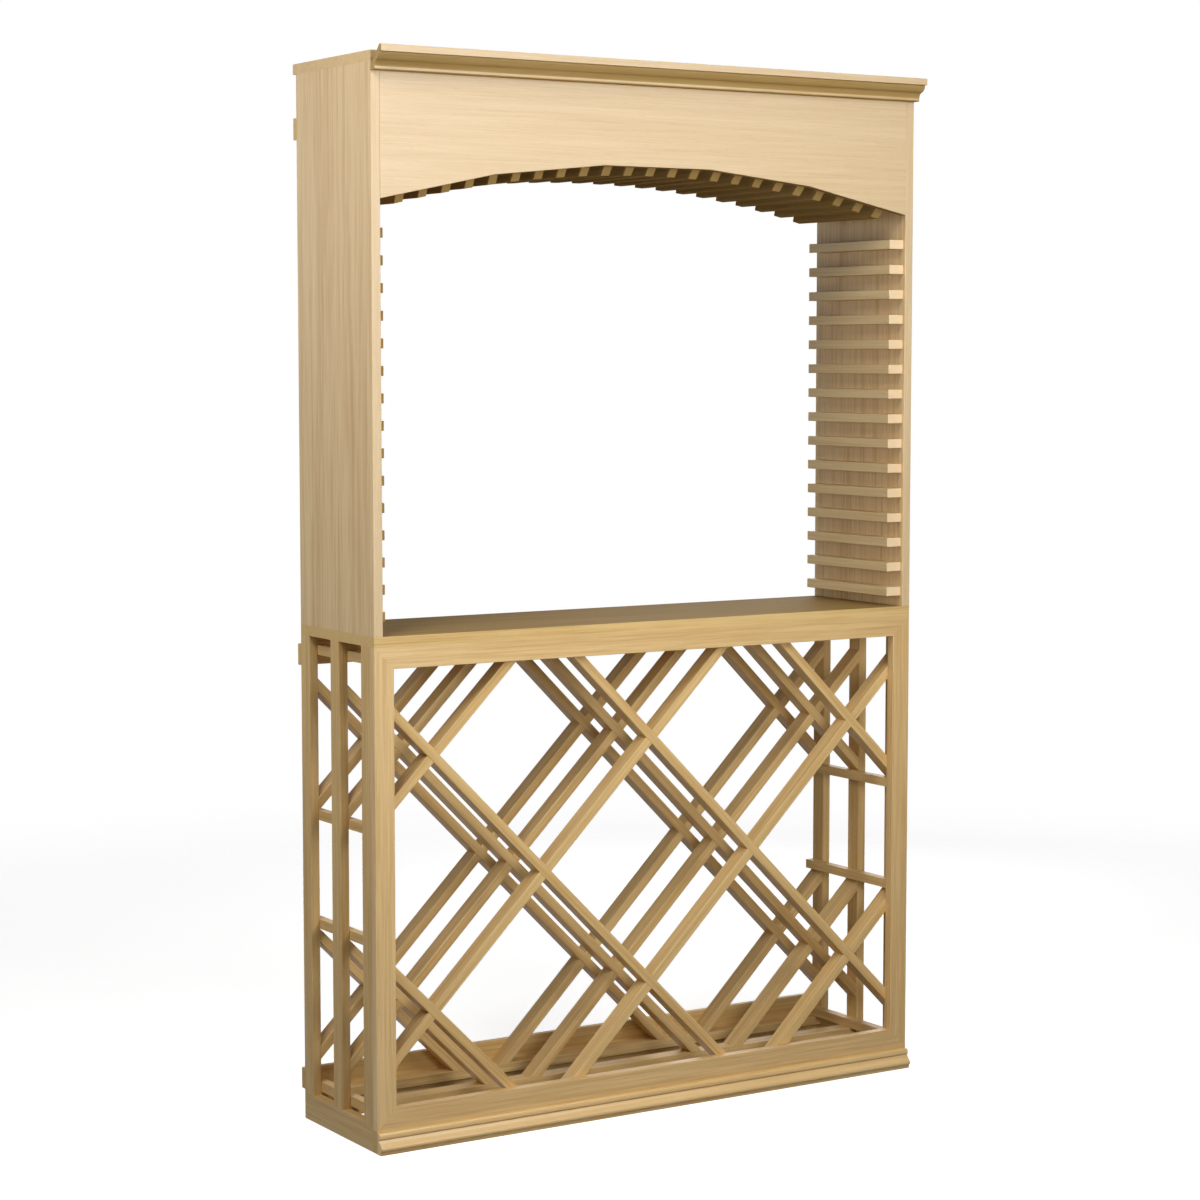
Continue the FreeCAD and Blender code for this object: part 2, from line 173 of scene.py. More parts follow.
class WoodSettings(PropertyGroup):
    # Paler than the wood's own colour: part of it is painted sheen from the lacquer near the top.
    panel_colour: FloatVectorProperty(
        name="Panels", description="Early wood of the side panels and the top board",
        subtype="COLOR", min=0, max=1, default=(0.71, 0.51, 0.255))
    # Paler still: painted sheen on the front faces near the top, on the valance, the crown's band and the
    # panels' front edges.
    valance_colour: FloatVectorProperty(
        name="Valance",
        description="Early wood of the valance, the crown's band and the panels' front edges",
        subtype="COLOR", min=0, max=1, default=(0.69, 0.523, 0.305))
    frame_colour: FloatVectorProperty(
        name="Face frame", description="Early wood of the face frame",
        subtype="COLOR", min=0, max=1, default=(0.735, 0.512, 0.232))
    # The strip below takes the darker board finish as painted shade at the moulding's foot.
    base_colour: FloatVectorProperty(
        name="Base moulding", description="Early wood of the base moulding above its strip",
        subtype="COLOR", min=0, max=1, default=(0.8, 0.55, 0.225))
    # Darker than the rest of the wood: painted shade in the crown's cove and on its undersides.
    crown_colour: FloatVectorProperty(
        name="Crown", description="Early wood of the crown moulding between its band and its bead",
        subtype="COLOR", min=0, max=1, default=(0.44, 0.3, 0.11))
    board_colour: FloatVectorProperty(
        name="Boards",
        description="Early wood of the table's edges, plinth, base strip, arch boards and cleats",
        subtype="COLOR", min=0, max=1, default=(0.735, 0.52, 0.225))
    # Darker than the table's edges: painted shade on the upper face, which lies under the station's upper
    # part.
    table_colour: FloatVectorProperty(
        name="Table", description="Early wood of the table's upper face",
        subtype="COLOR", min=0, max=1, default=(0.365, 0.243, 0.088))
    stick_colour: FloatVectorProperty(
        name="Sticks", description="Early wood of the posts, rails, stretchers and lattice",
        subtype="COLOR", min=0, max=1, default=(0.77, 0.54, 0.245))
    batten_colour: FloatVectorProperty(
        name="Battens", description="Early wood of the side battens and the crown's bead",
        subtype="COLOR", min=0, max=1, default=(0.645, 0.48, 0.24))
    # Darker than the rest of the wood: painted shade, on the slats under the arch, on undersides and on the
    # left battens' front ends.
    slat_colour: FloatVectorProperty(
        name="Slats",
        description="Early wood of the arch slats, dark undersides and the left battens' ends",
        subtype="COLOR", min=0, max=1, default=(0.42, 0.275, 0.1))
    ends_colour: FloatVectorProperty(
        name="Batten ends", description="Early wood of the right battens' front ends",
        subtype="COLOR", min=0, max=1, default=(0.92, 0.71, 0.45))
    late_share: FloatVectorProperty(
        name="Late wood", description="Colour of the late wood as a share of the early wood",
        subtype="COLOR", min=0, max=1, default=(0.76, 0.65, 0.5))
    ring_width: FloatProperty(
        name="Ring width", description="Distance between growth rings",
        subtype="DISTANCE", unit="LENGTH", min=0.0005, max=0.02, default=0.0042)
    streaks: FloatProperty(
        name="Streaks", description="Strength of the long streaks along the grain",
        subtype="FACTOR", min=0, max=2, default=1.0)
    fibres: FloatProperty(
        name="Fibres", description="Strength of the fine fibres and pores",
        subtype="FACTOR", min=0, max=2, default=1.0)
    roughness: FloatProperty(
        name="Roughness", description="Roughness of the satin lacquer",
        subtype="FACTOR", min=0, max=1, default=0.45)
    moulding_roughness: FloatProperty(
        name="Moulding roughness", description="Roughness of the smoother crown and base moulding",
        subtype="FACTOR", min=0, max=1, default=0.33)
    table_roughness: FloatProperty(
        name="Table roughness", description="Roughness of the matt table top",
        subtype="FACTOR", min=0, max=1, default=0.72)


class EdgeSettings(PropertyGroup):
    ease: FloatProperty(
        name="Ease", description="Width of the rounding on free edges",
        subtype="DISTANCE", unit="LENGTH", min=0, max=0.003, default=0.0009)
    moulding_ease: FloatProperty(
        name="Moulding ease", description="Width of the rounding on the mouldings' edges",
        subtype="DISTANCE", unit="LENGTH", min=0, max=0.003, default=0.0004)
    joint_ease: FloatProperty(
        name="Joint ease", description="Width of the rounding where pieces meet flush",
        subtype="DISTANCE", unit="LENGTH", min=0, max=0.001, default=0.00018)
    segments: IntProperty(
        name="Segments", description="Faces across each rounding", min=1, max=6, default=2)


class ScrewSettings(PropertyGroup):
    colour: FloatVectorProperty(
        name="Plating", description="Colour of the zinc plating",
        subtype="COLOR", min=0, max=1, default=BASE_COLOUR["screw_steel"])
    head_height: FloatProperty(
        name="Head height", description="Depth of the countersunk head",
        subtype="DISTANCE", unit="LENGTH", min=0.001, max=0.006, default=0.0025)
    shank_radius: FloatProperty(
        name="Shank radius", description="Radius of the shank and of the thread's crests",
        subtype="DISTANCE", unit="LENGTH", min=0.001, max=0.004, default=0.00198)
    core_radius: FloatProperty(
        name="Core radius", description="Radius at the root of the thread",
        subtype="DISTANCE", unit="LENGTH", min=0.0005, max=0.003, default=0.0014)
    thread_pitch: FloatProperty(
        name="Thread pitch", description="Distance between two turns of the thread",
        subtype="DISTANCE", unit="LENGTH", min=0.0008, max=0.004, default=0.0018)
    point_length: FloatProperty(
        name="Point", description="Length of the tapered point",
        subtype="DISTANCE", unit="LENGTH", min=0.002, max=0.012, default=0.007)
    recess_span: FloatProperty(
        name="Recess span", description="Length of each bar of the cross recess",
        subtype="DISTANCE", unit="LENGTH", min=0.001, max=0.006, default=0.0046)
    recess_width: FloatProperty(
        name="Recess width", description="Width of each bar of the cross recess",
        subtype="DISTANCE", unit="LENGTH", min=0.0004, max=0.003, default=0.0012)
    recess_depth: FloatProperty(
        name="Recess depth", description="Depth of the cross recess",
        subtype="DISTANCE", unit="LENGTH", min=0.0004, max=0.002, default=0.0019)


class StageSettings(PropertyGroup):
    camera_place: FloatVectorProperty(
        name="Camera", description="Where the camera stands",
        subtype="TRANSLATION", unit="LENGTH", default=(-2.83676, -4.45648, 1.39389))
    camera_tilt: FloatProperty(
        name="Tilt", description="How far the camera looks down",
        subtype="ANGLE", unit="ROTATION", default=math.radians(4.95))
    camera_heading: FloatProperty(
        name="Heading", description="How far the camera turns to the right of straight back",
        subtype="ANGLE", unit="ROTATION", default=math.radians(32.08))
    camera_lens: FloatProperty(
        name="Lens", description="Focal length in millimetres, on a sensor 36 mm wide",
        min=10, max=300, default=85.31)
    floor_colour: FloatVectorProperty(
        name="Floor", description="Colour of the floor",
        subtype="COLOR", min=0, max=1, default=(0.9, 0.9, 0.9))
    floor_bounce: FloatVectorProperty(
        name="Floor bounce", description="Colour of the floor as it lights the station from below",
        subtype="COLOR", min=0, max=1, default=(0.14, 0.135, 0.13))
    floor_lift: FloatProperty(
        name="Floor lift", description="How far the floor's shade is lifted towards the white background",
        subtype="FACTOR", min=0, max=1, default=0.7)
    floor_radius: FloatProperty(
        name="Floor radius", description="Radius where the floor has faded into the background",
        subtype="DISTANCE", unit="LENGTH", min=1, max=30, default=4.0)
    sky_colour: FloatVectorProperty(
        name="Room light", description="Even light from all round",
        subtype="COLOR", min=0, max=1, default=(0.01, 0.01, 0.01))
    light_level: FloatProperty(
        name="Light", description="Share of the lamps' full power",
        subtype="FACTOR", min=0, max=5, default=1.0)
    sheen_level: FloatProperty(
        name="Sheen", description="Share of the full power of the lamps that only show in the lacquer",
        subtype="FACTOR", min=0, max=5, default=1.0)


# Shader nodes

class Graph:
    """Short calls that add a node to a tree, set or link its inputs, and give its output."""

    def __init__(self, tree):
        self.tree = tree
        tree.nodes.clear()

    def feed(self, socket, value):
        if isinstance(value, bpy.types.NodeSocket):
            self.tree.links.new(value, socket)
        else:
            socket.default_value = value

    def add(self, kind, inputs=None, **settings):
        node = self.tree.nodes.new(kind)
        for key, value in settings.items():
            setattr(node, key, value)
        for key, value in (inputs or {}).items():
            self.feed(node.inputs[key], value)
        return node

    def math(self, operation, *values):
        return self.add("ShaderNodeMath", dict(enumerate(values)), operation=operation).outputs[0]

    def scaled(self, vector, scale):
        node = self.add("ShaderNodeVectorMath", {0: vector, 1: scale}, operation="MULTIPLY")
        return node.outputs["Vector"]

    def noise(self, vector, detail):
        inputs = {"Vector": vector, "Scale": 1.0, "Detail": detail}
        return self.add("ShaderNodeTexNoise", inputs).outputs["Fac"]

    def span(self, value, low, high, to_low=0.0, to_high=1.0):
        """Smooth step of a value from one range to another."""
        inputs = {"Value": value, "From Min": low, "From Max": high, "To Min": to_low, "To Max": to_high}
        return self.add("ShaderNodeMapRange", inputs, interpolation_type="SMOOTHSTEP").outputs[0]

    def mix(self, factor, first, second):
        node = self.add("ShaderNodeMix", data_type="RGBA")
        sockets = {s.identifier: s for s in node.inputs}
        for name, value in (("Factor_Float", factor), ("A_Color", first), ("B_Color", second)):
            self.feed(sockets[name], value)
        return next(s for s in node.outputs if s.identifier == "Result_Color")


def node_group(name, inputs, outputs):
    """An empty shader group with named sockets: its graph, its inputs and its output node."""
    tree = bpy.data.node_groups.new(name, "ShaderNodeTree")
    for direction, sockets in (("INPUT", inputs), ("OUTPUT", outputs)):
        for socket, kind in sockets.items():
            tree.interface.new_socket(name=socket, in_out=direction, socket_type="NodeSocket" + kind)
    graph = Graph(tree)
    return graph, graph.add("NodeGroupInput").outputs, graph.add("NodeGroupOutput")


def straight_grain():
    """Group of straight-grained wood. Grain is a place in the log in metres: X runs along the fibres, and
    the heart of the log is at Y = Z = 0."""
    name = "straight grain"
    if name in bpy.data.node_groups:
        return bpy.data.node_groups[name]
    graph, given, out = node_group(
        name,
        {"Grain": "Vector", "Tone": "Float", "End grain": "Float", "Early wood": "Color",
         "Late wood": "Color", "Ring width": "Float", "Streaks": "Float", "Fibres": "Float",
         "Roughness": "Float"},
        {"Color": "Color", "Roughness": "Float", "Height": "Float"})
    place = given["Grain"]

    def noise(layer):
        along, across, detail = layer
        return graph.noise(graph.scaled(place, (along, across, across)), detail)

    def centred(value, strength):
        return graph.math("MULTIPLY", graph.math("SUBTRACT", value, 0.5), strength)

    # Growth rings, each with its own strength, wandering slowly along the log
    section = graph.scaled(place, (0, 1, 1))
    radius = graph.add("ShaderNodeVectorMath", {0: section}, operation="LENGTH").outputs["Value"]
    radius = graph.math("ADD", radius, centred(noise(WANDER), RING_WANDER))
    phase = graph.math("DIVIDE", radius, given["Ring width"])
    turn = graph.math("FRACT", phase)
    number = graph.math("FLOOR", phase)
    strength = graph.add("ShaderNodeTexWhiteNoise", {"W": number}, noise_dimensions="1D").outputs["Value"]
    strength = graph.math("ADD", graph.math("MULTIPLY", strength, 1 - WEAKEST_RING), WEAKEST_RING)
    late = graph.math("MULTIPLY", graph.span(turn, *LATE_RISE), graph.span(turn, *LATE_FALL, 1.0, 0.0))
    rings = graph.math("MULTIPLY", late, strength)

    # Broad bands, streaks, fine lines, fibres and pores
    fibres = noise(FIBRES)
    pores = graph.span(noise(PORES), *PORE_RANGE)
    depth = graph.math("MULTIPLY", graph.math("MULTIPLY", rings, RING_DEPTH), given["Streaks"])
    for layer, reach in ((BANDS, BAND_DEPTH), (STREAKS, STREAK_DEPTH), (LINES, LINE_DEPTH)):
        part = graph.math("MULTIPLY", centred(noise(layer), reach), given["Streaks"])
        depth = graph.math("ADD", depth, part)
    for part in (centred(fibres, FIBRE_DEPTH), graph.math("MULTIPLY", pores, PORE_DEPTH)):
        depth = graph.math("ADD", depth, graph.math("MULTIPLY", part, given["Fibres"]))
    lost = graph.math("MULTIPLY", given["End grain"], END_GRAIN_CALM)
    depth = graph.math("MULTIPLY", depth, graph.math("SUBTRACT", 1.0, lost))
    depth = graph.math("ADD", depth, centred(given["Tone"], TONE_DEPTH))
    share = graph.math("MAXIMUM", graph.math("ADD", depth, MEAN_DEPTH), 0.0)
    colour = graph.mix(graph.math("MINIMUM", share, 1.0), given["Early wood"], given["Late wood"])

    rough = graph.math("ADD", given["Roughness"], centred(fibres, FIBRE_ROUGHNESS))
    rough = graph.math("ADD", rough, graph.math("MULTIPLY", given["End grain"], END_GRAIN_ROUGHNESS))
    height = graph.math("ADD", graph.math("MULTIPLY", fibres, FIBRE_HEIGHT),
                        graph.math("MULTIPLY", pores, PORE_HEIGHT))
    for socket, value in (("Color", colour), ("Roughness", rough), ("Height", height)):
        graph.tree.links.new(value, out.inputs[socket])
    return graph.tree


def new_material(name):
    material = bpy.data.materials.new(name)
    material.use_nodes = True
    return material, Graph(material.node_tree)


def attribute(graph, name, output):
    return graph.add("ShaderNodeAttribute", attribute_name=name).outputs[output]


def opaque(colour):
    return (*colour, 1.0)


def lacquered_wood(context, finish):
    """Satin wood in one of the finishes that the wood settings give a colour for. Several of these colours
    hold painted sheen or painted shade.
    """
    name = "lacquered_" + finish
    if name in bpy.data.materials:
        return bpy.data.materials[name]
    wood = context.scene.station_wood
    early = getattr(wood, finish + "_colour")
    late = [a * b for a, b in zip(early, wood.late_share)]
    roughness = getattr(wood, ROUGHNESS.get(finish, "roughness"))
    streaks = wood.streaks * STREAK_SHARE[finish]
    material, graph = new_material(name)
    grain = graph.add("ShaderNodeGroup", {
        "Grain": attribute(graph, "grain", "Vector"), "Tone": attribute(graph, "tone", "Fac"),
        "End grain": attribute(graph, "end_grain", "Fac"), "Early wood": opaque(early),
        "Late wood": opaque(late), "Ring width": wood.ring_width, "Streaks": streaks,
        "Fibres": wood.fibres, "Roughness": roughness}, node_tree=straight_grain())
    bump = graph.add("ShaderNodeBump", {
        "Strength": BUMP_STRENGTH, "Distance": BUMP_DISTANCE, "Height": grain.outputs["Height"]})
    shader = graph.add("ShaderNodeBsdfPrincipled", {
        "Base Color": grain.outputs["Color"], "Roughness": grain.outputs["Roughness"],
        "Normal": bump.outputs["Normal"], "Specular IOR Level": GLOSS.get(finish, SATIN_GLOSS)})
    graph.add("ShaderNodeOutputMaterial", {"Surface": shader.outputs["BSDF"]})
    return material


def plated_steel(context):
    """Zinc-plated screws, a little mottled."""
    name = "screw_steel_plated"
    if name in bpy.data.materials:
        return bpy.data.materials[name]
    colour = context.scene.station_screws.colour
    material, graph = new_material(name)
    place = graph.add("ShaderNodeTexCoord").outputs["Object"]
    mottle = graph.noise(graph.scaled(place, (MOTTLE_WAVES,) * 3), MOTTLE_DETAIL)
    dull = [DULL_SHARE * c for c in colour]
    shader = graph.add("ShaderNodeBsdfPrincipled", {
        "Base Color": graph.mix(mottle, opaque(colour), opaque(dull)),
        "Roughness": graph.span(mottle, *MOTTLE_RANGE, *PLATING_ROUGHNESS), "Metallic": 1.0})
    graph.add("ShaderNodeOutputMaterial", {"Surface": shader.outputs["BSDF"]})
    return material


# Timber

def nodes_named(*starts):
    """Names of the solids that start with one of the given words, in order."""
    names = sorted(name for name in frame["nodes"] if name.startswith(starts))
    if not names:
        raise RuntimeError("no solid is named " + " or ".join(starts))
    return names


def welded_solids(node):
    """The solids of a node with shared corners and whole flat faces."""
    source = frame["nodes"][node].data
    solids = bmesh.new()
    corners = [solids.verts.new(vertex.co) for vertex in source.vertices]
    for polygon in source.polygons:
        solids.faces.new([corners[i] for i in polygon.vertices])
    bmesh.ops.remove_doubles(solids, verts=solids.verts, dist=WELD)
    bmesh.ops.dissolve_limit(solids, angle_limit=FLAT_ANGLE, use_dissolve_boundaries=False,
                             verts=solids.verts, edges=solids.edges)
    solids.normal_update()
    return solids


def neighbours_of(node):
    """Search tree of every other wooden piece."""
    corners, faces = [], []
    for name, solid in frame["nodes"].items():
        if name != node and not name.endswith("_screws"):
            start = len(corners)
            corners.extend(vertex.co.copy() for vertex in solid.data.vertices)
            faces.extend([start + i for i in polygon.vertices] for polygon in solid.data.polygons)
    return BVHTree.FromPolygons(corners, faces)


def inside(tree, point):
    """Whether a point lies inside one of the tree's solids."""
    place, normal, _, _ = tree.find_nearest(point)
    return (point - place).dot(normal) < 0


def ease_share(edge, tree, settings):
    """How much of the full rounding an edge gets: little where a neighbour lies against one of its faces and
    level with the other along most of it, and none where a neighbour's edge meets it corner to corner."""
    first, second = (face.normal for face in edge.link_faces)
    start, end = (vertex.co for vertex in edge.verts)
    beside = (first - second) * PROBE
    beyond = (first + second) * PROBE
    flush = opposite = 0
    for i in range(PROBES_PER_EDGE):
        place = start.lerp(end, (i + 0.5) / PROBES_PER_EDGE)
        if inside(tree, place + beside) or inside(tree, place - beside):
            flush += 1
        elif inside(tree, place + beyond):
            opposite += 1
    if flush * 2 > PROBES_PER_EDGE:
        return settings.joint_ease / settings.ease
    return 0.0 if opposite * 2 > PROBES_PER_EDGE else 1.0


def eased_mesh(context, node, piece, along=None):
    """Round the piece's outer edges, less where it meets a neighbour flush. A moulding runs along a
    direction, and only its edges that run that way are rounded, by less."""
    edges = context.scene.station_edges
    solids = welded_solids(node)
    tree = neighbours_of(node)
    weight = solids.edges.layers.float.new("bevel_weight_edge")
    for face in solids.faces:
        face.smooth = True
    for edge in solids.edges:
        sharp = edge.calc_face_angle(0.0) > SMOOTH_ANGLE
        edge.smooth = not sharp
        line = edge.verts[1].co - edge.verts[0].co
        runs_along = along is None or abs(line.normalized().dot(along)) > RUNS_ALONG_COSINE
        if sharp and edge.is_convex and runs_along and line.length > SHORTEST_EASED_EDGE:
            edge[weight] = ease_share(edge, tree, edges)
    solids.to_mesh(piece.data)
    solids.free()
    rounding = piece.modifiers.new("eased edges", "BEVEL")
    rounding.limit_method = "WEIGHT"
    rounding.width = edges.ease if along is None else edges.moulding_ease
    rounding.segments = edges.segments
    rounding.use_clamp_overlap = False
    normals = piece.modifiers.new("flat face normals", "WEIGHTED_NORMAL")
    normals.keep_sharp = True
    depsgraph = context.evaluated_depsgraph_get()
    mesh = bpy.data.meshes.new_from_object(
        piece.evaluated_get(depsgraph), preserve_all_data_layers=True, depsgraph=depsgraph)
    rough = piece.data
    piece.modifiers.clear()
    piece.data = mesh
    bpy.data.meshes.remove(rough)
    mesh.name = piece.name


def solid_of_each_vertex(mesh):
    """For each vertex, the lowest vertex number in its own solid."""
    root = list(range(len(mesh.vertices)))

    def find(i):
        while root[i] != i:
            root[i] = root[root[i]]
            i = root[i]
        return i

    for edge in mesh.edges:
        a, b = (find(i) for i in edge.vertices)
        root[max(a, b)] = min(a, b)
    return [find(i) for i in range(len(root))]


def lay_grain(mesh, node, direction):
    """Cut each solid from its own place in a log, with its length along direction."""
    draw = random.Random(node)
    aside = direction.cross(BACK if abs(direction.dot(BACK)) < NEAR_BACK_COSINE else UP).normalized()
    axes = Matrix((direction, aside, direction.cross(aside)))
    places, tones = {}, {}
    owners = solid_of_each_vertex(mesh)
    for owner in sorted(set(owners)):
        angle = draw.uniform(0, 2 * math.pi)
        from_heart = draw.uniform(*HEART_DISTANCES)
        along_log = draw.uniform(*LOG_PLACES)
        corner = axes @ mesh.vertices[owner].co
        log = Vector((along_log, from_heart * math.cos(angle), from_heart * math.sin(angle)))
        places[owner] = log - Vector((0, corner.y, corner.z))
        tones[owner] = draw.random()
    for name, kind, domain in GRAIN_ATTRIBUTES:
        mesh.attributes.new(name, kind, domain)
    grain, tone, end = (mesh.attributes[name] for name, _, _ in GRAIN_ATTRIBUTES)
    for vertex, owner in zip(mesh.vertices, owners):
        grain.data[vertex.index].vector = axes @ vertex.co + places[owner]
        tone.data[vertex.index].value = tones[owner]
    for polygon in mesh.polygons:
        end.data[polygon.index].value = float(abs(polygon.normal.dot(direction)) > END_GRAIN_COSINE)


def new_piece(name, material, *replaced):
    """An empty mesh object that stands for the named solids."""
    piece = bpy.data.objects.new(name, bpy.data.meshes.new(name))
    bpy.context.scene.collection.objects.link(piece)
    piece.data.materials.append(material)
    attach(piece, BODY)
    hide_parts(*replaced)
    return piece


def timber(context, node, finish, direction, along=None):
    """One finished wooden piece in the place of its plain solid, with its grain along direction."""
    piece = new_piece(node + "_timber", lacquered_wood(context, finish), node)
    eased_mesh(context, node, piece, along)
    lay_grain(piece.data, node, direction)
    return piece


def refinish(context, piece, finish, normal, heights=ANY_HEIGHT):
    """Give another finish to the faces that look along normal and lie between two heights."""
    low, high = heights
    index = len(piece.data.materials)
    piece.data.materials.append(lacquered_wood(context, finish))
    for polygon in piece.data.polygons:
        if polygon.normal.dot(normal) > FACING_COSINE and low < polygon.center.z < high:
            polygon.material_index = index


# Screws, one by one

def screw_places(node):
    """Head centre, direction, length and head radius of each screw in a node."""
    solids = welded_solids(node)
    left = set(solids.verts)
    places = []
    while left:
        found = [left.pop()]
        for vertex in found:
            for edge in vertex.link_edges:
                other = edge.other_vert(vertex)
                if other in left:
                    left.remove(other)
                    found.append(other)
        points = [vertex.co.copy() for vertex in found]
        low = Vector([min(p[i] for p in points) for i in range(3)])
        high = Vector([max(p[i] for p in points) for i in range(3)])
        size = high - low
        axis = max(range(3), key=lambda i: size[i])
        middle = (low + high) / 2
        wide = max(points, key=lambda p: (p - middle).length_squared - (p - middle)[axis] ** 2)
        head = middle.copy()
        head[axis] = low[axis] if wide[axis] < middle[axis] else high[axis]
        places.append((head, (middle - head).normalized(), size[axis], min(size) / 2))
    solids.free()
    return sorted(places, key=lambda place: tuple(place[0]))


def cross_outline(span, width):
    """Corners of a cross, counter-clockwise."""
    long, short = span / 2, width / 2
    arm = [Vector((long, -short, 0)), Vector((long, short, 0)), Vector((short, short, 0))]
    return [Matrix.Rotation(i * math.pi / 2, 3, "Z") @ corner for i in range(4) for corner in arm]


def ring(mesh, depth, radius_at):
    """Corners round a screw at a depth below its head, with a radius for each angle."""
    corners = []
    for i in range(SCREW_SIDES):
        angle = 2 * math.pi * i / SCREW_SIDES
        radius = radius_at(angle)
        corners.append(mesh.verts.new((radius * math.cos(angle), radius * math.sin(angle), -depth)))
    return corners


def bridge(mesh, upper, lower):
    """Faces between two loops of as many corners."""
    count = len(upper)
    return [mesh.faces.new((upper[i], lower[i], lower[(i + 1) % count], upper[(i + 1) % count]))
            for i in range(count)]


def add_screw(mesh, settings, length, head_radius, place):
    """Add one countersunk screw with a cross recess and a thread. It is made pointing down from the origin,
    and place moves it."""
    first = len(mesh.verts)
    crest, core, pitch = settings.shank_radius, settings.core_radius, settings.thread_pitch
    rim = ring(mesh, 0.0, lambda angle: head_radius)
    upper = [mesh.verts.new(c) for c in cross_outline(settings.recess_span, settings.recess_width)]
    lower = [mesh.verts.new(RECESS_TAPER * v.co - settings.recess_depth * UP) for v in upper]
    loops = [mesh.edges.new((loop[i - 1], loop[i])) for loop in (rim, upper) for i in range(len(loop))]
    bmesh.ops.triangle_fill(mesh, use_beauty=True, edges=loops, normal=UP)
    bridge(mesh, upper, lower)
    mesh.faces.new(lower)
    above = rim
    step = pitch / RINGS_PER_TURN
    point_start = length - settings.point_length
    for i in range(int((length - settings.head_height) / step) + 1):
        depth = settings.head_height + i * step
        taper = min(1.0, TIP_SHARE + (1 - TIP_SHARE) * (length - depth) / settings.point_length)

        def thread(angle, depth=depth, taper=taper):
            turn = (depth / pitch - angle / (2 * math.pi)) % 1.0
            ridge = max(0.0, 1 - abs(turn - 0.5) / RIDGE_HALF_WIDTH)
            return taper * (core + (crest - core) * ridge)

        below = ring(mesh, depth, thread)
        for face in bridge(mesh, above, below):
            face.smooth = depth < point_start
        above = below
    tip = mesh.verts.new((0, 0, -length))
    for i in range(SCREW_SIDES):
        mesh.faces.new((above[i], tip, above[(i + 1) % SCREW_SIDES]))
    mesh.verts.ensure_lookup_table()
    bmesh.ops.transform(mesh, matrix=place, verts=mesh.verts[first:])


def screws(context, node):
    """All screws of a node as one piece, each turned by its own chance angle."""
    settings = context.scene.station_screws
    draw = random.Random(node)
    piece = new_piece(node + "_plated", plated_steel(context), node)
    mesh = bmesh.new()
    for head, direction, length, head_radius in screw_places(node):
        aim = (-UP).rotation_difference(direction).to_matrix().to_4x4()
        spin = Matrix.Rotation(draw.uniform(0, 2 * math.pi), 4, "Z")
        add_screw(mesh, settings, length, head_radius, Matrix.Translation(head) @ aim @ spin)
    bmesh.ops.recalc_face_normals(mesh, faces=mesh.faces)
    mesh.to_mesh(piece.data)
    mesh.free()


# Operators

class STATION_OT_plinth(Operator):
    """Plinth boards on the floor: the front and rear ones across, the side ones from front to rear"""
    bl_idname = "station.plinth"
    bl_label = "Plinth"

    def execute(self, context):
        for node in ("plinth_front", "plinth_rear"):
            timber(context, node, "board", ACROSS)
        for node in ("plinth_left", "plinth_right"):
            timber(context, node, "board", BACK)
        return {"FINISHED"}


class STATION_OT_base_moulding(Operator):
    """Moulding along the foot of the front"""
    bl_idname = "station.base_moulding"
    bl_label = "Base moulding"

    def execute(self, context):
        base = timber(context, "base_moulding", "base", ACROSS, along=ACROSS)
        # The strip at the foot takes the darker board finish, and the undersides the dark slat finish:
        # painted shade.
        refinish(context, base, "board", -BACK, (0.0, BASE_STRIP))
        refinish(context, base, "slat", BASE_UNDERSIDES)
        return {"FINISHED"}


class STATION_OT_posts(Operator):
    """Three upright posts on each side of the bin"""
    bl_idname = "station.posts"
    bl_label = "Posts"

    def execute(self, context):
        for node in nodes_named("post_"):
            timber(context, node, "stick", UP)
        return {"FINISHED"}


class STATION_OT_side_rails(Operator):
    """Rails inside the posts that bear the lattice's ends"""
    bl_idname = "station.side_rails"
    bl_label = "Side rails"

    def execute(self, context):
        for node in nodes_named("side_rail_"):
            timber(context, node, "stick", BACK)
        return {"FINISHED"}


class STATION_OT_stretchers(Operator):
    """Stretchers between the two sides, under the table and at the foot of the bin"""
    bl_idname = "station.stretchers"
    bl_label = "Stretchers"

    def execute(self, context):
        for node in nodes_named("top_stretcher_", "bottom_stretcher_"):
            timber(context, node, "stick", ACROSS)
        return {"FINISHED"}


class STATION_OT_lattice(Operator):
    """Half-lapped bars of the diamond lattice, in three layers"""
    bl_idname = "station.lattice"
    bl_label = "Lattice"

    def execute(self, context):
        for node in nodes_named("lattice_rising_"):
            timber(context, node, "stick", RISING)
        for node in nodes_named("lattice_falling_"):
            timber(context, node, "stick", FALLING)
        return {"FINISHED"}


class STATION_OT_face_frame(Operator):
    """Mitred frame round the front of the bin"""
    bl_idname = "station.face_frame"
    bl_label = "Face frame"

    def execute(self, context):
        for node in nodes_named("face_rail_"):
            timber(context, node, "frame", ACROSS)
        for node in nodes_named("face_stile_"):
            timber(context, node, "frame", UP)
        return {"FINISHED"}


class STATION_OT_table_top(Operator):
    """Table top over the bin"""
    bl_idname = "station.table_top"
    bl_label = "Table top"

    def execute(self, context):
        # The upper face takes the dark table finish: painted shade.
        refinish(context, timber(context, "table_top", "board", ACROSS), "table", UP)
        return {"FINISHED"}


class STATION_OT_side_panels(Operator):
    """Upright panels on both sides of the display bay"""
    bl_idname = "station.side_panels"
    bl_label = "Side panels"

    def execute(self, context):
        for node in nodes_named("side_panel_"):
            # The front edges take the paler valance finish: painted sheen.
            refinish(context, timber(context, node, "panel", UP), "valance", -BACK)
        return {"FINISHED"}


